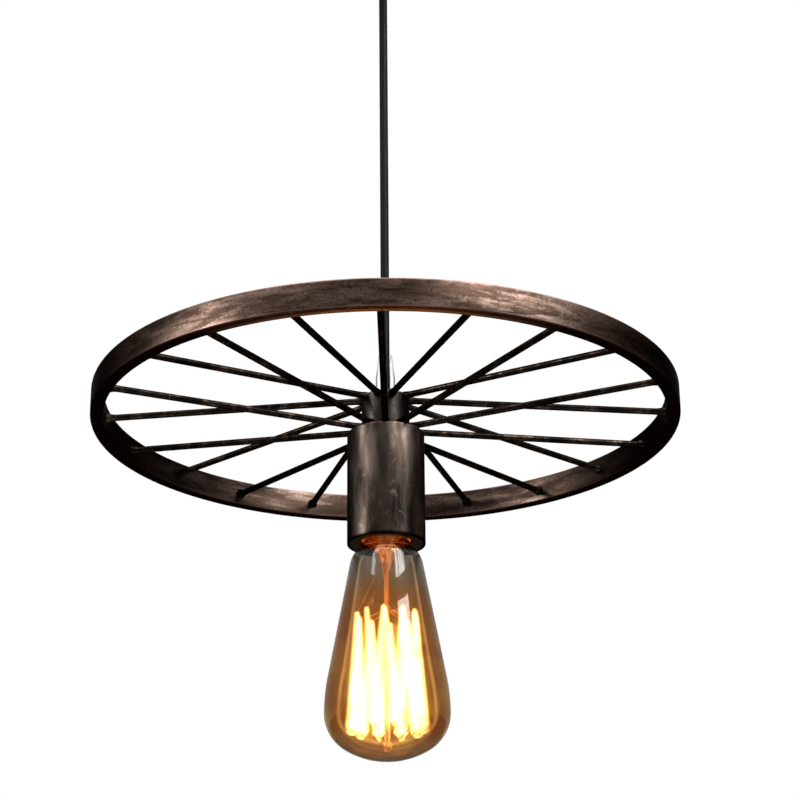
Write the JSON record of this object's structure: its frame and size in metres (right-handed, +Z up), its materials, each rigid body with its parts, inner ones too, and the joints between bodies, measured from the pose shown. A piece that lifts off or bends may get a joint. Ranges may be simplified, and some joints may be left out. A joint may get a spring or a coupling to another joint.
{
  "type": "wagon wheel pendant lamp",
  "caption": "Pendant ceiling lamp: a spoked metal wheel hangs flat from a straight cord and canopy, with a socket cup and a bare squirrel cage bulb below its hub.",
  "frame": {"origin": "centre of the ceiling bracket's upper face, on the ceiling", "axes": "+Z up, along the cord and the lamp's axis; +X through the canopy's side screws, to the picture's right"},
  "size_m": [0.312, 0.312, 0.509],
  "materials": {
    "bronze_canopy": "aged bronze lacquer over near-black, satin, hand rubbed",
    "bronze_rim": "aged bronze lacquer over near-black, worn to copper in places",
    "bronze_hub": "dark aged bronze, satin",
    "bronze_spokes": "near-black aged bronze, satin",
    "bronze_cup": "dark aged bronze with soft vertical wear, satin",
    "zinc_steel": "zinc plated sheet steel",
    "zinc_nut": "zinc plated, turned",
    "zinc_screws": "zinc plated",
    "brass_screws": "antique brass, satin",
    "brass": "bright stamped brass",
    "black_nylon": "black moulded nylon, fine matt",
    "nylon_screw": "black nylon",
    "cord_sheath": "black PVC sheath, soft matt",
    "brown_lead": "PVC insulation",
    "blue_lead": "blue PVC insulation",
    "earth_lead": "green PVC insulation with a yellow stripe",
    "terminal_plastic": "off-white moulded nylon",
    "clear_grip": "clear moulded plastic",
    "bakelite": "black phenolic moulding",
    "solder": "lead-free solder",
    "black_glass": "black insulating glass",
    "amber_glass": "clear glass with an amber tint",
    "stem_glass": "clear glass",
    "nickel_wire": "nickel and molybdenum wire",
    "glowing_filament": "coated wire, glowing"
  },
  "bodies": {
    "ceiling_fitting": {"canopy_cup": "bronze_canopy", "ceiling_bracket": "zinc_steel", "canopy_side_screws": "brass_screws", "canopy_cord_grip": "black_nylon", "canopy_grip_screw": "nylon_screw", "canopy_grip_nut": "zinc_nut", "cord_tail_ceiling": "cord_sheath", "terminal_block": "terminal_plastic", "terminal_barrels": "brass", "terminal_block_screws": "zinc_screws", "terminal_block_fixings": "zinc_screws", "ceiling_live_lead": "brown_lead", "ceiling_earth_lead": "earth_lead", "ceiling_neutral_lead": "blue_lead"},
    "cord": {"suspension_cord": "cord_sheath"},
    "hub_grip": {"hub_cord_grip": "clear_grip"},
    "wheel": {"cord_tail_hub": "cord_sheath", "wheel_hub": "bronze_hub", "wheel_rim": "bronze_rim", "spoke_01": "bronze_spokes", "spoke_02": "bronze_spokes", "spoke_03": "bronze_spokes", "spoke_04": "bronze_spokes", "spoke_05": "bronze_spokes", "spoke_06": "bronze_spokes", "spoke_07": "bronze_spokes", "spoke_08": "bronze_spokes", "spoke_09": "bronze_spokes", "spoke_10": "bronze_spokes", "spoke_11": "bronze_spokes", "spoke_12": "bronze_spokes", "spoke_13": "bronze_spokes", "spoke_14": "bronze_spokes", "spoke_15": "bronze_spokes", "spoke_16": "bronze_spokes", "spoke_17": "bronze_spokes", "spoke_18": "bronze_spokes", "spoke_19": "bronze_spokes", "spoke_20": "bronze_spokes", "threaded_nipple": "zinc_nut", "spring_washer": "zinc_steel", "cup_nut": "zinc_nut", "socket_cup": "bronze_cup", "lampholder_bridge": "zinc_steel", "lampholder_bridge_screws": "zinc_screws", "lampholder_body": "bakelite", "lampholder_screw_shell": "brass", "lampholder_centre_contact": "brass", "lampholder_terminals": "brass", "lampholder_terminal_screws": "zinc_screws", "lampholder_leads": "brown_lead"},
    "bulb_tip": {"bulb_contact": "solder", "bulb_cap_insulator": "black_glass"},
    "bulb": {"bulb_cap": "brass", "bulb_glass": "amber_glass", "bulb_stem": "stem_glass", "bulb_lead_in_wires": "nickel_wire", "bulb_support_wires": "nickel_wire", "bulb_filament": "glowing_filament"}
  },
  "joints": [
    {"name": "pendant_swing", "type": "hinge", "parent": "ceiling_fitting", "child": "cord", "pos_m": [0, 0, -0.042], "axis": [0, 1, 0], "range_deg": [-15, 15]},
    {"name": "wheel_rock", "type": "hinge", "parent": "cord", "child": "hub_grip", "pos_m": [0, 0, -0.293], "axis": [1, 0, 0], "range_deg": [-8, 8]},
    {"name": "wheel_turn", "type": "hinge", "parent": "hub_grip", "child": "wheel", "pos_m": [0, 0, -0.3235], "axis": [0, 0, 1], "range_deg": [-180, 180]},
    {"name": "bulb_travel", "type": "slide", "parent": "wheel", "child": "bulb_tip", "axis": [0, 0, -1], "range_m": [0, 0.02896]},
    {"name": "bulb_turn", "type": "hinge", "parent": "bulb_tip", "child": "bulb", "pos_m": [0, 0, -0.368], "axis": [0, 0, -1], "range_deg": [0, 2880]}
  ],
  "couplings": [
    {"joint": "bulb_travel", "follows": "bulb_turn", "m_per_rad": 0.00057614}
  ]
}
